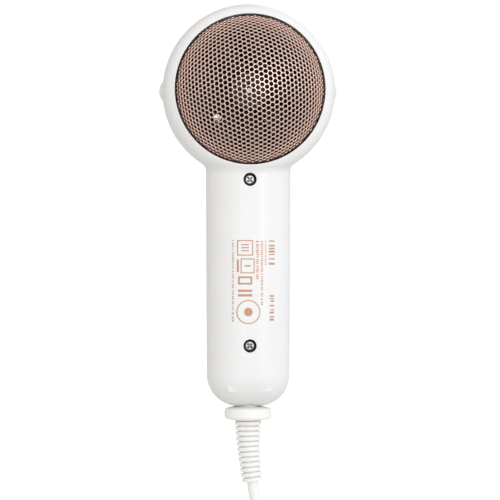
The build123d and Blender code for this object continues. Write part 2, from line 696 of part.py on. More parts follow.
# ---- Free cord -------------------------------------------------------------------------------
# The lead joins the outermost turn of the coil's lower layer, whose centreline runs at
# X = COIL_X + COIL_MEAN_R + 1.5 CORD_D and Z = COIL_FLOOR_Z + CORD_D / 2. The plug's end
# leaves the same turn of the layer above.
LEAD_POINTS = [
    (2.03, 0.0, -88.0),
    (4.6, 0.0, -106.5),
    (13.0, 6.2, -122.9),
    (24.1, 18.7, -132.9),
    (34.8, 35.0, -134.45),
    (37.95, 52.0, -134.45),
]
PLUG_FACE = (36.0, 25.6)  # width and height of the plug's front
TAIL_POINTS = [
    (37.95, 52.0, -129.15),
    (37.4, 63.0, -127.2),
    (35.5, 74.0, -125.2),
    (35.5, 84.0, -125.2),
]


def corner_radii(points):
    """Each corner's radius, as large as its two runs allow."""
    radii = []
    for before, here, after in zip(points, points[1:], points[2:]):
        a = Vector(*here) - Vector(*before)
        b = Vector(*after) - Vector(*here)
        radii.append(0.45 * min(a.length, b.length) / tan(radians(a.get_angle(b) / 2)))
    return radii


def cord_tube(points, name):
    """The plain round cord along straight runs joined by tangent arcs."""
    radii = corner_radii(points)
    with BuildPart() as made:
        with BuildLine() as path:
            FilletPolyline(*points, radius=radii)
        route = path.wire()
        with BuildSketch(Plane(origin=route @ 0, z_dir=route % 0)):
            Circle(CORD_D / 2)
        sweep(path=route)
    swept = pi * CORD_D**2 / 4 * route.length
    print(name, "radii", [round(radius, 1) for radius in radii], "length", round(route.length, 1))
    print(name, "volume", round(made.part.volume), "section x length", round(swept))
    save(made.part, name)
    return route.length


lead_length = cord_tube(LEAD_POINTS, "cord_lead")
tail_length = cord_tube(TAIL_POINTS, "cord_plug_end")

with BuildPart() as cord_coil:
    half = COIL_COLUMNS * CORD_D / 2
    with BuildSketch(Plane(origin=(COIL_X, COIL_Y, 0), x_dir=(1, 0, 0), z_dir=(0, -1, 0))):
        with Locations((COIL_MEAN_R, COIL_FLOOR_Z + COIL_LAYERS * CORD_D / 2)):
            RectangleRounded(2 * half, COIL_LAYERS * CORD_D, CORD_D / 2 - 0.05)
    revolve(axis=Axis((COIL_X, COIL_Y, 0), (0, 0, 1)))
save(cord_coil.part, "cord_coil")
turns = COIL_COLUMNS * COIL_LAYERS
coil_length = turns * 2 * pi * COIL_MEAN_R
total = coil_length + lead_length + tail_length
print("coil length", round(coil_length), "whole cord", round(total))

with BuildPart() as cord_tie:
    low = FLOOR_Z + 0.05
    high = COIL_FLOOR_Z + COIL_LAYERS * CORD_D + 0.05
    far = -COIL_MEAN_R - half - 0.15
    near = -COIL_MEAN_R + half + 0.6
    width = (COIL_Y - 3.5, COIL_Y + 3.5)
    add(block((far - TIE_T, near + TIE_T), width, (low, high + TIE_T), 3.0))
    add(block((far, near), width, (low + TIE_T, high), 2.2), mode=Mode.SUBTRACT)
save(cord_tie.part, "cord_tie")

# ---- Mains plug ------------------------------------------------------------------------------
plug_start = Vector(*TAIL_POINTS[-1])


def plug_plane(distance):
    """Plane across the plug, a distance from where the cord enters it."""
    return facing(plug_start.Y + distance, plug_start.X, plug_start.Z)


PLUG_SECTIONS = (
    (16.0, 13.0, 11.5, 4.9),
    (24.0, 19.0, 15.5, 7.0),
    (36.0, 33.0, 23.5, 10.5),
    (44.0, *PLUG_FACE, 11.5),
    (50.0, *PLUG_FACE, 11.5),
)
with BuildPart() as plug_body:
    for distance, plug_w, plug_h, corner in PLUG_SECTIONS:
        with BuildSketch(plug_plane(distance)):
            RectangleRounded(plug_w, plug_h, corner)
    loft()
    fillet(plug_body.faces().sort_by(Axis.Y)[-1].edges(), 1.2)
    # The ribbed strain relief behind the body.
    with BuildSketch(plug_plane(0)):
        Circle(3.6)
    with BuildSketch(plug_plane(16.5)):
        Circle(4.6)
    loft()
    for index in range(5):
        with BuildSketch(plug_plane(1.5 + 3.0 * index)):
            Circle(4.6 + 0.2 * index)
        extrude(amount=1.7)
save(plug_body.part, "plug_body")

with BuildPart() as plug_pins:
    for side in (-1, 1):
        with BuildPart(mode=Mode.PRIVATE) as pin:
            with BuildSketch(plug_plane(50.0)):
                with Locations((side * 9.5, 0)):
                    Circle(2.4)
            extrude(amount=19.0)
            fillet(pin.faces().sort_by(Axis.Y)[-1].edges(), 1.1)
        add(pin.part)
save(plug_pins.part, "plug_pins")
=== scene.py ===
# %% [markdown]
# # A compact hair dryer, seen from behind
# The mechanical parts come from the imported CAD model, which stays fixed. This lesson gives them
# their finishes and makes the few pieces that a CAD solid can only stand for: the pierced metal
# dome over the air intake, the lead wound into its coil, and the printed marks on the handle.
# Everything is in metres. +Z runs up the handle, +Y is the way the air blows.

# %% Load the frame
import json
import random
from math import asin, cos, pi, radians, sin, sqrt

import bmesh
import bpy
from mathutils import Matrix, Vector
from mathutils.bvhtree import BVHTree


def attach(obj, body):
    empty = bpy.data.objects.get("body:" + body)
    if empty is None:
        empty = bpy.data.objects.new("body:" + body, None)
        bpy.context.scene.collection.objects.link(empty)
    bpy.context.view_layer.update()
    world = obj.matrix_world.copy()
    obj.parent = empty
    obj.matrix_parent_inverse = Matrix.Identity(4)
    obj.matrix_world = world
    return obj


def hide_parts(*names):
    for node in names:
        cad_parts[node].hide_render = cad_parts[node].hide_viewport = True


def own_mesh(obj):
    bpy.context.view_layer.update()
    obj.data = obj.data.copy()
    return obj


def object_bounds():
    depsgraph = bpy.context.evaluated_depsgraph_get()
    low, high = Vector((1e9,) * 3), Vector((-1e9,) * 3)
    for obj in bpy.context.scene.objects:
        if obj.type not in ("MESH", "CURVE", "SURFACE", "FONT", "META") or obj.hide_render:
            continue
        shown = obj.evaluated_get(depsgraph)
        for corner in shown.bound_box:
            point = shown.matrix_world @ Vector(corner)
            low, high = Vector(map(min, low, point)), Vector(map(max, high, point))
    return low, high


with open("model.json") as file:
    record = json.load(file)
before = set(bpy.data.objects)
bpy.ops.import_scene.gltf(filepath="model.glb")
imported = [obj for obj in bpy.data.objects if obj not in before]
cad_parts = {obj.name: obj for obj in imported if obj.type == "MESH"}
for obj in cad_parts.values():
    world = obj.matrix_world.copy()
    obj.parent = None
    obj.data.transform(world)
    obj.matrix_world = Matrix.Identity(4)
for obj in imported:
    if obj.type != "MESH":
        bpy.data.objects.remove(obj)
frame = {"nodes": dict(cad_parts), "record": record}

scene = bpy.context.scene
nodes = frame["nodes"]
cad_low, cad_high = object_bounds()
MM = 0.001
AXIS_Z = 95 * MM  # height of the barrel's axis
print("pieces", len(nodes), "size in mm", [round(v / MM) for v in cad_high - cad_low])


# %% Helpers for the whole scene
def add_object(name, data):
    """A new object in the scene, made from a mesh, a curve, a lamp or a camera."""
    made = bpy.data.objects.new(name, data)
    scene.collection.objects.link(made)
    return made


def map_range(tree, source, target, kind="LINEAR"):
    """A node that turns one range of values into another."""
    made = tree.nodes.new("ShaderNodeMapRange")
    made.interpolation_type = kind
    made.inputs["From Min"].default_value, made.inputs["From Max"].default_value = source
    made.inputs["To Min"].default_value, made.inputs["To Max"].default_value = target
    return made


# %% [markdown]
# ## The camera
# The dryer is looked at from straight behind with a long lens, a little from the left, level
# with the grip. A long lens about a metre away keeps the round head round: a short lens close
# up would swell it. The lens follows from how much width has to fit at the grip's distance.

# %% Camera
CAMERA_AWAY = 1.05
CAMERA_TURN = radians(-3.2)
VIEW_WIDTH = 0.235
LOOK_AT = Vector((0.0009, 0.0, 0.0206))
lens = bpy.data.cameras.new("behind")
lens.sensor_width = 36.0
lens.lens = lens.sensor_width * CAMERA_AWAY / VIEW_WIDTH
lens.clip_start, lens.clip_end = 0.05, 20.0
camera = add_object("behind", lens)
back = Vector((sin(CAMERA_TURN), -cos(CAMERA_TURN), 0.0))
camera.location = LOOK_AT + back * CAMERA_AWAY
camera.rotation_euler = (-back).to_track_quat("-Z", "Y").to_euler()
scene.camera = camera
print("lens", round(lens.lens, 1), "mm")

# %% [markdown]
# ## The lead
# A mains lead is one fixed length of soft PVC cable. It leaves the ribbed boot, bends over under
# its own weight, and the rest of its 1.63 m is wound into a flat coil on the table, two layers
# of four turns, held by a tie. One smooth NURBS curve with a round bevel is the natural tool: a
# few control points give the free stretch, and a loop gives the turns.

# %% Route of the lead
CORD_D = 5.3 * MM
LEAVING = [
    (2.03, 0.0, -88.0),
    (4.6, 0.0, -106.5),
    (13.0, 6.2, -122.9),
    (24.1, 18.7, -132.9),
    (34.8, 35.0, -134.45),
]
TO_PLUG = [
    (37.9, 59.5, -123.6),
    (36.9, 67.5, -123.7),
    (35.7, 75.5, -124.9),
    (35.5, 84.0, -125.2),
]
COIL_MIDDLE = (0.0, 52.0)
COLUMN_R = (37.95, 32.65, 27.35, 22.05)  # a column of turns to a radius, from outside in
LAYER_Z = (-134.45, -129.15)
STEPS_A_TURN = 16
STEP_FROM, STEP_OVER = 0.60, 0.24  # the share of a turn where the radius starts to step, and takes
LIFT_OVER = 4.6  # the last turn climbs this far to cross its own start
LIFT_FROM, LIFT_TURNS = 7.72, 0.28

# The lower layer winds inwards and the upper one outwards. Each turn keeps its radius for most of
# the way and steps to the next column in a short stretch, as a hand-wound coil does.
turn_r = COLUMN_R + tuple(reversed(COLUMN_R))
turn_z = (LAYER_Z[0],) * 4 + (LAYER_Z[1],) * 4
last_turn = len(turn_r) - 1


def eased(share):
    """From 0 to 1 with a soft start and end."""
    share = min(1.0, max(0.0, share))
    return share * share * (3 - 2 * share)


def coil_point(turn):
    """Where the coil is after that many turns."""
    here = min(int(turn), last_turn)
    after = min(here + 1, last_turn)
    move = eased((turn - here - STEP_FROM) / STEP_OVER) if here < last_turn else 0.0
    radius = turn_r[here] + (turn_r[after] - turn_r[here]) * move
    height = turn_z[here] + (turn_z[after] - turn_z[here]) * move
    height += LIFT_OVER * eased((turn - LIFT_FROM) / LIFT_TURNS)
    angle = 2 * pi * turn
    return (COIL_MIDDLE[0] + radius * cos(angle), COIL_MIDDLE[1] + radius * sin(angle), height)


winding = [coil_point(step / STEPS_A_TURN) for step in range(len(turn_r) * STEPS_A_TURN + 1)]
route = [Vector(p) * MM for p in LEAVING + winding + TO_PLUG]
print("control points", len(route))

# %% The lead as one curve
lead_curve = bpy.data.curves.new("mains_lead", "CURVE")
lead_curve.dimensions = "3D"
lead_curve.bevel_depth = 1.0  # the round profile is scaled by each point's radius
lead_curve.bevel_resolution = 4
lead_curve.use_fill_caps = True
spline = lead_curve.splines.new("NURBS")
spline.points.add(len(route) - 1)
for point, place in zip(spline.points, route):
    point.co = (*place, 1.0)
    point.radius = CORD_D / 2
spline.order_u = 3
spline.use_endpoint_u = True
spline.resolution_u = 6
mains_lead = add_object("mains_lead", lead_curve)
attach(mains_lead, "housing")
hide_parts("cord_lead", "cord_coil", "cord_plug_end")
print("lead length", round(spline.calc_length(), 3))

# %% [markdown]
# ## Table, backdrop and light
# The dryer is held up over a plain white table with its coiled lead. White on white needs light
# from all sides, so the sky itself is the softbox: bright at the right, warmer and dimmer at the
# left, and dimmer again overhead and behind the dryer, which is what draws the edges of a white
# object. Three faint square softboxes add the highlights. The table glows for the camera only, as
# an overexposed sweep of paper seems to, so that it melts into the background and still doesn't
# light the dryer too much from below.

# %% Table
TABLE_Z = cad_low.z - 0.2 * MM  # a hair below the coil
TABLE_HALF = 4.0
TABLE_GLOW = 0.50
corner_signs = ((-1, -1), (1, -1), (1, 1), (-1, 1))
table_mesh = bpy.data.meshes.new("table")
table_mesh.from_pydata(
    [(x * TABLE_HALF, y * TABLE_HALF, TABLE_Z) for x, y in corner_signs], [], [(0, 1, 2, 3)]
)
table = add_object("table", table_mesh)
table_paint = bpy.data.materials.new("white_table")
table_paint.use_nodes = True
table_surface = table_paint.node_tree.nodes["Principled BSDF"]
table_surface.inputs["Base Color"].default_value = (0.80, 0.79, 0.77, 1)
table_surface.inputs["Roughness"].default_value = 0.7
table_surface.inputs["Specular IOR Level"].default_value = 0.0
table_surface.inputs["Emission Color"].default_value = (1.0, 1.0, 1.0, 1)
table_seen = table_paint.node_tree.nodes.new("ShaderNodeLightPath")
table_glow = table_paint.node_tree.nodes.new("ShaderNodeMath")
table_glow.operation = "MULTIPLY"
table_glow.inputs[1].default_value = TABLE_GLOW
wire = table_paint.node_tree.links.new
wire(table_seen.outputs["Is Camera Ray"], table_glow.inputs[0])
wire(table_glow.outputs[0], table_surface.inputs["Emission Strength"])
table_mesh.materials.append(table_paint)
print("table at", round(TABLE_Z / MM, 1), "mm")

# %% Sky that is dimmer at the left, behind and overhead
scene.view_settings.view_transform = "Standard"
sky = bpy.data.worlds.new("studio")
scene.world = sky
sky.use_nodes = True
sky_tree = sky.node_tree
sky_tree.nodes.clear()
direction = sky_tree.nodes.new("ShaderNodeTexCoord")
across = sky_tree.nodes.new("ShaderNodeSeparateXYZ")
spread = map_range(sky_tree, (-1.0, 0.55), (0.0, 1.0))
tone = sky_tree.nodes.new("ShaderNodeValToRGB")
tone.color_ramp.interpolation = "EASE"
tone.color_ramp.elements[0].color = (0.86, 0.835, 0.79, 1)
tone.color_ramp.elements[1].color = (1.0, 1.0, 1.0, 1)
behind = map_range(sky_tree, (-0.1, 0.9), (1.25, 0.66), "SMOOTHSTEP")
overhead = map_range(sky_tree, (0.0, 1.0), (1.0, 0.70), "SMOOTHSTEP")
level = sky_tree.nodes.new("ShaderNodeMath")
level.operation = "MULTIPLY"
lit_by = sky_tree.nodes.new("ShaderNodeBackground")
seen = sky_tree.nodes.new("ShaderNodeBackground")
seen.inputs["Color"].default_value = (1, 1, 1, 1)
seen.inputs["Strength"].default_value = 1.05
which = sky_tree.nodes.new("ShaderNodeLightPath")
blend = sky_tree.nodes.new("ShaderNodeMixShader")
sky_out = sky_tree.nodes.new("ShaderNodeOutputWorld")
wire = sky_tree.links.new
wire(direction.outputs["Generated"], across.inputs[0])
wire(across.outputs["X"], spread.inputs["Value"])
wire(spread.outputs["Result"], tone.inputs["Fac"])
wire(tone.outputs["Color"], lit_by.inputs["Color"])
wire(across.outputs["Y"], behind.inputs["Value"])
wire(across.outputs["Z"], overhead.inputs["Value"])
wire(behind.outputs["Result"], level.inputs[0])
wire(overhead.outputs["Result"], level.inputs[1])
wire(level.outputs[0], lit_by.inputs["Strength"])
wire(which.outputs["Is Camera Ray"], blend.inputs["Fac"])
wire(lit_by.outputs[0], blend.inputs[1])
wire(seen.outputs[0], blend.inputs[2])
wire(blend.outputs[0], sky_out.inputs["Surface"])
print("sky nodes", len(sky_tree.nodes))


# %% Softboxes
def softbox(name, place, aim, size, watts):
    """A square area light that faces a point."""
    lamp = bpy.data.lights.new(name, "AREA")
    lamp.size = size
    lamp.energy = watts
    light = add_object(name, lamp)
    light.location = place
    light.rotation_euler = (Vector(place) - Vector(aim)).to_track_quat("Z", "Y").to_euler()


softbox("key_softbox", (1.0, -1.1, 0.6), (0, 0, 0.05), 0.7, 1.6)
softbox("grille_softbox", (0.36, -1.25, 0.24), (0, 0, 0.095), 0.44, 3.0)
softbox("front_softbox", (0.6, 1.4, 0.9), (0, 0, 0.05), 0.9, 2.0)

# %% [markdown]
# ## Two shared effects
# Moulded plastic is never optically flat: the mould leaves a very fine skin, and thick places sink
# a little. Sheet metal carries a grain from the rolling mill and small changes of polish. Each
# effect serves several materials, so each is a node group, built once and set per material.

# %% Small helpers for node groups
def new_group(name, inputs):
    """An effect's empty node group with its sockets, and its two end nodes."""
    tree = bpy.data.node_groups.new(name, "ShaderNodeTree")
    for label, value in inputs:
        socket = tree.interface.new_socket(label, in_out="INPUT", socket_type="NodeSocketFloat")
        socket.default_value = value
    for label in ("Height", "Tone", "Polish"):
        tree.interface.new_socket(label, in_out="OUTPUT", socket_type="NodeSocketFloat")
    return tree, tree.nodes.new("NodeGroupInput"), tree.nodes.new("NodeGroupOutput")


def noise(tree, detail, roughness=0.5):
    """A noise texture with its detail and roughness."""
    made = tree.nodes.new("ShaderNodeTexNoise")
    made.inputs["Detail"].default_value = detail
    made.inputs["Roughness"].default_value = roughness
    return made


def tone_from(tree, pattern, spread, tone):
    """Feed a tone that falls from 1 by the spread where the pattern is low."""
    least = tree.nodes.new("ShaderNodeMath")
    least.operation = "SUBTRACT"
    least.inputs[0].default_value = 1.0
    darker = map_range(tree, (0.0, 1.0), (0.0, 1.0))
    tree.links.new(spread, least.inputs[1])
    tree.links.new(pattern, darker.inputs["Value"])
    tree.links.new(least.outputs[0], darker.inputs["To Min"])
    tree.links.new(darker.outputs["Result"], tone)


print("node groups so far", len(bpy.data.node_groups))

# %% Moulded skin
moulded_skin, skin_in, skin_out = new_group(
    "moulded_skin",
    [("Grain Scale", 2500.0), ("Sink Scale", 60.0), ("Sink Share", 0.3), ("Tone Spread", 0.04)],
)
place = moulded_skin.nodes.new("ShaderNodeTexCoord")
grain = noise(moulded_skin, 3.0)
sink = noise(moulded_skin, 1.5)
join = moulded_skin.nodes.new("ShaderNodeMix")
wire = moulded_skin.links.new
wire(place.outputs["Object"], grain.inputs["Vector"])
wire(place.outputs["Object"], sink.inputs["Vector"])
wire(skin_in.outputs["Grain Scale"], grain.inputs["Scale"])
wire(skin_in.outputs["Sink Scale"], sink.inputs["Scale"])
wire(skin_in.outputs["Sink Share"], join.inputs["Factor"])
wire(grain.outputs["Fac"], join.inputs["A"])
wire(sink.outputs["Fac"], join.inputs["B"])
wire(join.outputs["Result"], skin_out.inputs["Height"])
wire(grain.outputs["Fac"], skin_out.inputs["Polish"])
tone_from(
    moulded_skin, sink.outputs["Fac"], skin_in.outputs["Tone Spread"], skin_out.inputs["Tone"]
)
print("moulded skin nodes", len(moulded_skin.nodes))

# %% Rolled metal
rolled_metal, rolled_in, rolled_out = new_group(
    "rolled_metal",
    [("Grain Scale", 900.0), ("Stretch", 12.0), ("Tone Spread", 0.12)],
)
place = rolled_metal.nodes.new("ShaderNodeTexCoord")
squeeze = rolled_metal.nodes.new("ShaderNodeVectorMath")
squeeze.operation = "MULTIPLY"
ratio = rolled_metal.nodes.new("ShaderNodeCombineXYZ")
ratio.inputs["X"].default_value = 1.0
ratio.inputs["Y"].default_value = 1.0
streak = noise(rolled_metal, 4.0, 0.6)
cloud = noise(rolled_metal, 2.0)
cloud.inputs["Scale"].default_value = 90.0
wire = rolled_metal.links.new
wire(place.outputs["Object"], squeeze.inputs[0])
wire(rolled_in.outputs["Stretch"], ratio.inputs["Z"])
wire(ratio.outputs[0], squeeze.inputs[1])
wire(squeeze.outputs[0], streak.inputs["Vector"])
wire(place.outputs["Object"], cloud.inputs["Vector"])
wire(rolled_in.outputs["Grain Scale"], streak.inputs["Scale"])
wire(streak.outputs["Fac"], rolled_out.inputs["Height"])
wire(streak.outputs["Fac"], rolled_out.inputs["Polish"])
tone_from(
    rolled_metal, cloud.outputs["Fac"], rolled_in.outputs["Tone Spread"], rolled_out.inputs["Tone"]
)
print("rolled metal nodes", len(rolled_metal.nodes))


# %% A material around one effect
def finish_with(name, effect, settings, colour, rough, bump, metallic=0.0):
    """A Principled material whose tone, polish and relief come from one shared effect.

    rough is the least and the greatest roughness, and bump the relief's depth in metres.
    """
    made = bpy.data.materials.new(name)
    made.use_nodes = True
    tree = made.node_tree
    surface = tree.nodes["Principled BSDF"]
    surface.inputs["Metallic"].default_value = metallic
    worked = tree.nodes.new("ShaderNodeGroup")
    worked.node_tree = effect
    for label, value in settings.items():
        worked.inputs[label].default_value = value
    tint = tree.nodes.new("ShaderNodeMix")
    tint.data_type = "RGBA"
    tint.blend_type = "MULTIPLY"
    tint.inputs["Factor"].default_value = 1.0
    tint.inputs["A"].default_value = (*colour, 1)
    polish = map_range(tree, (0.0, 1.0), rough)
    relief = tree.nodes.new("ShaderNodeBump")
    relief.inputs["Strength"].default_value = 1.0
    relief.inputs["Distance"].default_value = bump
    wire = tree.links.new
    wire(worked.outputs["Tone"], tint.inputs["B"])
    wire(tint.outputs["Result"], surface.inputs["Base Color"])
    wire(worked.outputs["Polish"], polish.inputs["Value"])
    wire(polish.outputs["Result"], surface.inputs["Roughness"])
    wire(worked.outputs["Height"], relief.inputs["Height"])
    wire(relief.outputs["Normal"], surface.inputs["Normal"])
    return made


def surface_of(material):
    """The material's own Principled shader, for settings that are the same all over."""
    return material.node_tree.nodes["Principled BSDF"]


print("effects ready", moulded_skin.name, rolled_metal.name)

# %% [markdown]
# ## The plastics
# The shell is white ABS from a polished mould: a bright, slightly cool body under a soft gloss.
# The grille's ring is a dark brown moulding, the inner parts are black heat-resistant plastic, and
# the lead and its boot are soft PVC, which is duller and softer at its edges. They differ in
# colour, polish and relief, and share the moulded skin.

# %% White shell
shell_white = finish_with(
    "shell_white", moulded_skin, {"Grain Scale": 1500.0, "Tone Spread": 0.015},
    (0.815, 0.822, 0.838), (0.30, 0.38), 0.0000015,
)
surface_of(shell_white).inputs["Specular IOR Level"].default_value = 0.5
surface_of(shell_white).inputs["Coat Weight"].default_value = 0.2
surface_of(shell_white).inputs["Coat Roughness"].default_value = 0.28
print("made", shell_white.name)

# %% Brown, black, grey and soft white mouldings
ring_brown = finish_with(
    "ring_brown", moulded_skin, {"Grain Scale": 1800.0},
    (0.05, 0.03, 0.025), (0.38, 0.5), 0.00001,
)
inner_black = finish_with(
    "inner_black", moulded_skin, {"Grain Scale": 1400.0},
    (0.008, 0.008, 0.008), (0.45, 0.6), 0.00002,
)
fan_grey = finish_with(
    "fan_grey", moulded_skin, {"Grain Scale": 1400.0},
    (0.018, 0.021, 0.023), (0.24, 0.38), 0.00001,
)
surface_of(inner_black).inputs["Specular IOR Level"].default_value = 0.15
surface_of(ring_brown).inputs["Specular IOR Level"].default_value = 0.2
surface_of(fan_grey).inputs["Specular IOR Level"].default_value = 0.2
cord_white = finish_with(
    "cord_white", moulded_skin, {"Grain Scale": 1700.0, "Tone Spread": 0.03},
    (0.90, 0.90, 0.89), (0.36, 0.5), 0.000012,
)
surface_of(cord_white).inputs["Sheen Weight"].default_value = 0.1
tie_white = finish_with(
    "tie_white", moulded_skin, {"Grain Scale": 900.0},
    (0.85, 0.85, 0.84), (0.45, 0.6), 0.00002,
)
phenolic = finish_with(
    "phenolic", moulded_skin, {"Grain Scale": 500.0, "Tone Spread": 0.25},
    (0.55, 0.42, 0.22), (0.5, 0.7), 0.00002,
)
mica = finish_with(
    "mica", moulded_skin, {"Grain Scale": 300.0, "Sink Scale": 250.0, "Tone Spread": 0.4},
    (0.70, 0.62, 0.48), (0.25, 0.55), 0.00003,
)
capacitor_yellow = finish_with(
    "capacitor_yellow", moulded_skin, {"Grain Scale": 1200.0},
    (0.75, 0.62, 0.12), (0.3, 0.4), 0.00001,
)
wire_sleeve = finish_with(
    "wire_sleeve", moulded_skin, {"Grain Scale": 1200.0},
    (0.45, 0.30, 0.20), (0.4, 0.5), 0.00001,
)
print("materials so far", len(bpy.data.materials))

# %% [markdown]
# ## The metals
# The intake dome and the small trims are steel sheet plated in rose gold. Plating keeps the rolled
# grain of the sheet below it, so its highlights are soft and slightly streaked. Zinc-plated screws
# are duller and greyer, and the plug's nickel pins are the brightest metal here.

# %% Rose gold and the other metals
rose_gold = finish_with(
    "rose_gold", rolled_metal, {"Grain Scale": 700.0, "Stretch": 6.0, "Tone Spread": 0.08},
    (0.79, 0.58, 0.51), (0.20, 0.34), 0.000006, 1.0,
)
zinc_steel = finish_with(
    "zinc_steel", rolled_metal, {"Grain Scale": 1600.0, "Stretch": 3.0, "Tone Spread": 0.25},
    (0.62, 0.62, 0.63), (0.25, 0.42), 0.00001, 1.0,
)
screw_steel = finish_with(
    "screw_steel", rolled_metal, {"Grain Scale": 1600.0, "Stretch": 2.0, "Tone Spread": 0.35},
    (0.62, 0.65, 0.66), (0.22, 0.40), 0.00002, 1.0,
)
black_steel = finish_with(
    "black_steel", rolled_metal, {"Grain Scale": 1600.0, "Stretch": 1.0},
    (0.02, 0.022, 0.025), (0.4, 0.6), 0.00001, 0.6,
)
nickel = finish_with(
    "nickel", rolled_metal, {"Grain Scale": 900.0, "Stretch": 1.0, "Tone Spread": 0.06},
    (0.72, 0.71, 0.68), (0.12, 0.22), 0.000004, 1.0,
)
winding_copper = finish_with(
    "winding_copper", rolled_metal, {"Grain Scale": 1500.0, "Stretch": 0.3, "Tone Spread": 0.3},
    (0.75, 0.42, 0.25), (0.28, 0.42), 0.00004, 1.0,
)
nichrome = finish_with(
    "nichrome", rolled_metal, {"Grain Scale": 1200.0, "Tone Spread": 0.3},
    (0.42, 0.38, 0.35), (0.35, 0.5), 0.00001, 1.0,
)
ferrite = finish_with(
    "ferrite", rolled_metal, {"Grain Scale": 800.0, "Stretch": 1.0, "Tone Spread": 0.3},
    (0.10, 0.10, 0.11), (0.5, 0.7), 0.00002, 0.3,
)
print("materials so far", len(bpy.data.materials))

# %% Painted shade in the screws' cross recesses
# The screws' base colour is multiplied down where ambient occlusion finds a recess: painted shade
# in the cross recesses.
recess = screw_steel.node_tree.nodes.new("ShaderNodeAmbientOcclusion")
recess.inputs["Distance"].default_value = 0.0015
recess.samples = 8
open_share = map_range(screw_steel.node_tree, (0.35, 0.95), (0.12, 1.0))
# This node paints the recess shade: the base colour times the occlusion share.
painted_recess_shade = screw_steel.node_tree.nodes.new("ShaderNodeMix")
painted_recess_shade.data_type = "RGBA"
painted_recess_shade.blend_type = "MULTIPLY"
painted_recess_shade.inputs["Factor"].default_value = 1.0
wire = screw_steel.node_tree.links.new
unshaded_colour = surface_of(screw_steel).inputs["Base Color"].links[0].from_socket
wire(unshaded_colour, painted_recess_shade.inputs["A"])
wire(recess.outputs["AO"], open_share.inputs["Value"])
wire(open_share.outputs["Result"], painted_recess_shade.inputs["B"])
wire(painted_recess_shade.outputs["Result"], surface_of(screw_steel).inputs["Base Color"])
print("screw nodes", len(screw_steel.node_tree.nodes))

# %% Finishes onto the CAD pieces
by_slot = {
    "housing_white": shell_white, "rose_gold": rose_gold, "ring_brown": ring_brown,
    "inner_black": inner_black, "fan_grey": fan_grey, "steel": zinc_steel, "magnet": ferrite,
    "screw_steel": screw_steel, "black_steel": black_steel,
    "copper": winding_copper, "mica": mica, "nichrome": nichrome, "board": phenolic,
    "wire": wire_sleeve, "cord_white": cord_white, "tie": tie_white, "pin_nickel": nickel,
    "capacitor": capacitor_yellow,
}
for part in frame["record"]["subparts"]:
    piece = nodes[part["node"]]
    piece.data.materials.clear()
    piece.data.materials.append(by_slot[part["material_slot"]])
mains_lead.data.materials.append(cord_white)

# %% [markdown]
# ## The pierced dome
# The intake grille is one sheet of metal, punched with about a thousand round holes on a
# triangular lattice and then drawn into a shallow dome. It could be a dome with a boolean for each
# hole, but that is slow and leaves ragged faces. Instead each hole is built as a cell: a hexagon
# with a ring of points for the hole, a rolled edge, the hole's wall, and the sheet's inner face.
# Neighbouring cells share their corners, so the cells knit into one sheet. The lattice is laid
# out flat and mapped onto the dome so that every cell keeps its area, which is what drawing does.

# %% The dome's measures
DOME_R = 36.3
DOME_T = 0.5
RIM_R, RIM_Y, SKIRT_Y = 34.3, -17.4, -13.1
DOME_MIDDLE_Y = RIM_Y + sqrt(DOME_R**2 - RIM_R**2)
PITCH = 2.42
HOLE_R = 1.0
EDGE_ROLL = 0.12
LATTICE_LEAN = radians(5.0)
FLAT_RIM = 2 * DOME_R * sin(asin(RIM_R / DOME_R) / 2)
FLAT_HOLES = FLAT_RIM - 1.45  # beyond this the sheet is plain
SPOKES = 12
print("flat radius in mm", round(FLAT_RIM, 2))


def on_dome(x, z, depth):
    """A flat point on the dome, at a depth below its outer face, in metres."""
    flat = sqrt(x * x + z * z)
    if flat > FLAT_RIM:
        x, z, flat = x * FLAT_RIM / flat, z * FLAT_RIM / flat, FLAT_RIM
    if flat < 1e-9:
        return (0.0, (DOME_MIDDLE_Y - DOME_R + depth) * MM, AXIS_Z)
    lean = 2 * asin(flat / (2 * DOME_R))
    radius = DOME_R - depth
    share = radius * sin(lean) / flat
    return (x * share * MM, (DOME_MIDDLE_Y - radius * cos(lean)) * MM, z * share * MM + AXIS_Z)


# %% Points and faces of the sheet
dome_points = []
dome_faces = []
known = {}


def dome_vertex(x, z, depth):
    """The number of a point, shared by all cells that touch it."""
    flat = sqrt(x * x + z * z)
    if flat > FLAT_RIM:
        x, z = x * FLAT_RIM / flat, z * FLAT_RIM / flat
    key = (round(x, 3), round(z, 3), depth)
    if key not in known:
        known[key] = len(dome_points)
        dome_points.append(on_dome(x, z, depth))
    return known[key]


def add_face(*corners):
    """A face, unless clamping to the rim has flattened it."""
    kept = [c for i, c in enumerate(corners) if c != corners[i - 1]]
    if len(set(kept)) == len(kept) and len(kept) >= 3:
        dome_faces.append(kept)


directions = [LATTICE_LEAN + pi / 2 + k * pi / 6 for k in range(SPOKES)]


def cell_ring(x, z, radii, depth):
    """Points round a cell's middle, one to a direction."""
    spots = [(x + r * cos(a), z + r * sin(a)) for r, a in zip(radii, directions)]
    return [dome_vertex(*spot, depth) for spot in spots]


print("directions round a hole", len(directions))

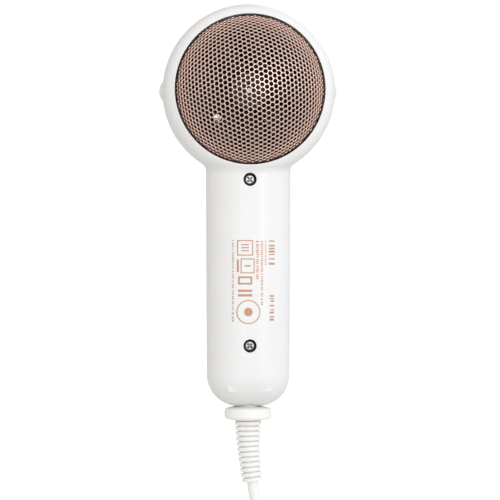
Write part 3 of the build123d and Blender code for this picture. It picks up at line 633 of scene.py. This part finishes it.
# %% Cells of the sheet
outline_r = [PITCH / 2 if k % 2 == 0 else PITCH / sqrt(3) for k in range(SPOKES)]
rows = int(FLAT_RIM / PITCH) + 3
holes = 0
for row in range(-rows, rows + 1):
    for place_in_row in range(-rows * 2, rows * 2 + 1):
        along = PITCH * (place_in_row + row / 2)
        beside = PITCH * sqrt(3) / 2 * row
        x = -along * sin(LATTICE_LEAN) + beside * cos(LATTICE_LEAN)
        z = along * cos(LATTICE_LEAN) + beside * sin(LATTICE_LEAN)
        flat = sqrt(x * x + z * z)
        if flat > FLAT_RIM + PITCH * 0.5:
            continue
        outer = cell_ring(x, z, outline_r, 0.0)
        inner = cell_ring(x, z, outline_r, DOME_T)
        if flat > FLAT_HOLES:
            middle_out, middle_in = dome_vertex(x, z, 0.0), dome_vertex(x, z, DOME_T)
            for k in range(SPOKES):
                n = (k + 1) % SPOKES
                add_face(outer[k], outer[n], middle_out)
                add_face(inner[n], inner[k], middle_in)
            continue
        holes += 1
        rings = [
            outer,
            cell_ring(x, z, [HOLE_R + EDGE_ROLL] * SPOKES, 0.0),
            cell_ring(x, z, [HOLE_R] * SPOKES, EDGE_ROLL),
            cell_ring(x, z, [HOLE_R] * SPOKES, DOME_T),
            inner,
        ]
        for a, b in zip(rings, rings[1:]):
            for k in range(SPOKES):
                n = (k + 1) % SPOKES
                add_face(a[k], a[n], b[n], b[k])
print("holes", holes, "faces", len(dome_faces))

# %% The dome's skirt and the finished piece
SKIRT_STEPS = 120
skirt = [(RIM_R, RIM_Y), (RIM_R, SKIRT_Y), (RIM_R - DOME_T, SKIRT_Y), (RIM_R - DOME_T, RIM_Y)]
first = len(dome_points)
for step in range(SKIRT_STEPS):
    angle = 2 * pi * step / SKIRT_STEPS
    for radius, y in skirt:
        dome_points.append((radius * cos(angle) * MM, y * MM, radius * sin(angle) * MM + AXIS_Z))
for step in range(SKIRT_STEPS):
    here, after = first + step * 4, first + (step + 1) % SKIRT_STEPS * 4
    for k in range(4):
        n = (k + 1) % 4
        dome_faces.append((here + k, here + n, after + n, after + k))
dome_mesh = bpy.data.meshes.new("pierced_dome")
dome_mesh.from_pydata(dome_points, [], dome_faces)
dome_mesh.validate()
dome_mesh.polygons.foreach_set("use_smooth", [True] * len(dome_mesh.polygons))
dome_mesh.set_sharp_from_angle(angle=radians(60))
dome_mesh.materials.append(rose_gold)
pierced_dome = add_object("pierced_dome", dome_mesh)
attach(pierced_dome, "grille")
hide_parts("intake_grille")
print("dome triangles", sum(len(face) - 2 for face in dome_faces))

# %% [markdown]
# ## Parts that bend
# Two things inside give way when a button is pressed: the coil spring behind the cool-shot button
# shortens, and each snap finger of the grille's ring leans in under its release button. The CAD
# model holds them rigid. Here the spring is wound afresh along a helix and each finger is a copy
# of its half of the CAD piece, each with a mesh of its own.

# %% Cool-shot spring
SPRING_Y, SPRING_LENGTH, SPRING_Z = 6.9, 4.2, 38.5
SPRING_R, SPRING_WIRE_R, SPRING_TURNS = 2.4, 0.25, 4.2
SPRING_STEPS_A_TURN = 14
spring_curve = bpy.data.curves.new("button_spring", "CURVE")
spring_curve.dimensions = "3D"
spring_curve.bevel_depth = 1.0
spring_curve.bevel_resolution = 3
spring_line = spring_curve.splines.new("NURBS")
spring_steps = round(SPRING_TURNS * SPRING_STEPS_A_TURN)
spring_line.points.add(spring_steps)
for step, point in enumerate(spring_line.points):
    share = step / spring_steps
    angle = 2 * pi * SPRING_TURNS * share
    point.co = (
        SPRING_R * cos(angle) * MM,
        (SPRING_Y + SPRING_LENGTH * share) * MM,
        (SPRING_Z + SPRING_R * sin(angle)) * MM,
        1.0,
    )
    point.radius = SPRING_WIRE_R * MM
spring_line.order_u = 3
spring_line.use_endpoint_u = True
wound = add_object("button_spring_line", spring_curve)
bpy.context.view_layer.update()
evaluated = wound.evaluated_get(bpy.context.evaluated_depsgraph_get())
spring_mesh = bpy.data.meshes.new_from_object(evaluated)
bpy.data.objects.remove(wound)
spring_mesh.materials.clear()
spring_mesh.materials.append(zinc_steel)
button_spring = add_object("button_spring", spring_mesh)
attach(button_spring, "housing")
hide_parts("cool_shot_spring")
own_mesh(button_spring)
print("spring faces", len(spring_mesh.polygons))

# %% Snap fingers
fingers = nodes["grille_snap_fingers"]
finger_rows = (
    (-1, "left_release", "snap_finger_left"),
    (1, "right_release", "snap_finger_right"),
)
for side, joint, name in finger_rows:
    shape = bmesh.new()
    shape.from_mesh(fingers.data)
    other = [v for v in shape.verts if v.co.x * side < 0]
    bmesh.ops.delete(shape, geom=other, context="VERTS")
    finger_mesh = bpy.data.meshes.new(name)
    shape.to_mesh(finger_mesh)
    shape.free()
    finger_mesh.materials.clear()
    finger_mesh.materials.append(ring_brown)
    finger = add_object(name, finger_mesh)
    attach(finger, "grille")
    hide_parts("grille_snap_fingers")
    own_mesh(finger)
    print(name, len(finger_mesh.polygons))

# %% [markdown]
# ## The printed marks
# The back of the handle carries a small pad print in copper ink. Real prints give ratings and
# symbols; here they are only generic marks, short strokes in rows and plain outlined shapes, with
# no letters. A print is a film of ink that follows the surface below it, so the marks are thin
# meshes, laid out flat and dropped onto the housing along the air's direction.

# %% Copper ink
copper_ink = finish_with(
    "copper_ink", moulded_skin, {"Grain Scale": 3500.0, "Sink Share": 0.1, "Tone Spread": 0.3},
    (0.63, 0.34, 0.22), (0.35, 0.5), 0.000003,
)
surface_of(copper_ink).inputs["Metallic"].default_value = 0.25
print("ink", copper_ink.name)

# %% Ways to draw a mark
INK_LIFT = 0.03  # how far the film stands on the shell
PATCH_ACROSS, PATCH_ALONG = 0.7, 1.5  # about the size of a patch's faces
RING_STEPS = 30
ink_points = []
ink_faces = []
shell = BVHTree.FromObject(nodes["rear_housing"], bpy.context.evaluated_depsgraph_get())


def ink_vertex(x, z):
    """A point of the film, just above the shell."""
    start = Vector((x * MM, -0.05, z * MM))
    hit = shell.ray_cast(start, Vector((0, 1, 0)))[0]
    ink_points.append((x * MM, hit.y - INK_LIFT * MM, z * MM))
    return len(ink_points) - 1


def patch(corners, across, along):
    """A four-sided patch of ink, divided so that it bends with the shell."""
    (ax, az), (bx, bz), (cx, cz), (dx, dz) = corners
    grid = []
    for j in range(along + 1):
        v = j / along
        line = []
        for i in range(across + 1):
            u = i / across
            x = (ax * (1 - u) + bx * u) * (1 - v) + (dx * (1 - u) + cx * u) * v
            z = (az * (1 - u) + bz * u) * (1 - v) + (dz * (1 - u) + cz * u) * v
            line.append(ink_vertex(x, z))
        grid.append(line)
    for low_line, high_line in zip(grid, grid[1:]):
        for i in range(across):
            ink_faces.append((low_line[i], low_line[i + 1], high_line[i + 1], high_line[i]))


def bar(x, z):
    """A filled rectangle between two limits each way."""
    across = max(1, round((x[1] - x[0]) / PATCH_ACROSS))
    along = max(1, round((z[1] - z[0]) / PATCH_ALONG))
    patch([(x[0], z[0]), (x[1], z[0]), (x[1], z[1]), (x[0], z[1])], across, along)


def outline(x, z, line):
    """A rectangle drawn with a line."""
    bar(x, (z[0], z[0] + line))
    bar(x, (z[1] - line, z[1]))
    bar((x[0], x[0] + line), (z[0] + line, z[1] - line))
    bar((x[1] - line, x[1]), (z[0] + line, z[1] - line))


def ring(x, z, radius, line):
    """A ring drawn with a line inside its radius."""
    inner = radius - line
    for step in range(RING_STEPS):
        a = radians(360 * step / RING_STEPS)
        b = radians(360 * (step + 1) / RING_STEPS)
        patch(
            [
                (x + inner * cos(a), z + inner * sin(a)),
                (x + radius * cos(a), z + radius * sin(a)),
                (x + radius * cos(b), z + radius * sin(b)),
                (x + inner * cos(b), z + inner * sin(b)),
            ],
            1,
            1,
        )


strokes = random.Random(7)


def rows_of_strokes(x, z, stroke, gap):
    """A line of print that runs down the handle, as short strokes of uneven length."""
    top = z[1]
    while top > z[0] + stroke:
        length = stroke * strokes.uniform(0.7, 1.5)
        bottom = max(z[0], top - length)
        inset = (x[1] - x[0]) * strokes.choice([0.0, 0.0, 0.25])
        bar((x[0] + inset, x[1]), (bottom, top))
        top = bottom - gap * strokes.choice([1.0, 1.0, 1.0, 2.4])


print("shell ready to print on")

# %% The marks
rows_of_strokes((-8.4, -7.6), (-13.2, 25.2), 0.45, 0.35)
rows_of_strokes((2.7, 4.0), (5.8, 24.8), 0.5, 0.38)
rows_of_strokes((4.9, 6.0), (-5.3, 24.8), 0.45, 0.35)
rows_of_strokes((6.8, 7.5), (12.3, 25.2), 0.4, 0.35)
rows_of_strokes((9.1, 11.2), (-13.2, -0.3), 0.6, 0.55)
rows_of_strokes((8.7, 11.5), (12.6, 25.0), 0.7, 0.6)
outline((-6.0, 1.4), (18.0, 25.2), 0.5)
for bar_z in (20.0, 21.4, 22.8):
    bar((-4.1, -0.5), (bar_z, bar_z + 0.55))
bar((-6.1, -5.2), (10.4, 16.2))
outline((-4.4, 2.1), (9.8, 16.7), 0.5)
bar((-2.6, 0.3), (12.9, 13.6))
outline((-5.6, 1.0), (4.6, 8.4), 0.85)
bar((-5.6, 1.0), (-0.9, 0.2))
bar((-5.6, 1.0), (1.2, 2.3))
ring(-0.8, -8.1, 5.6, 0.5)
ring(-0.8, -8.1, 2.0, 1.9)
ink_mesh = bpy.data.meshes.new("printed_marks")
ink_mesh.from_pydata(ink_points, [], ink_faces)
ink_mesh.validate()
ink_mesh.polygons.foreach_set("use_smooth", [True] * len(ink_mesh.polygons))
ink_mesh.materials.append(copper_ink)
printed_marks = add_object("printed_marks", ink_mesh)
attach(printed_marks, "housing")
print("ink faces", len(ink_faces))
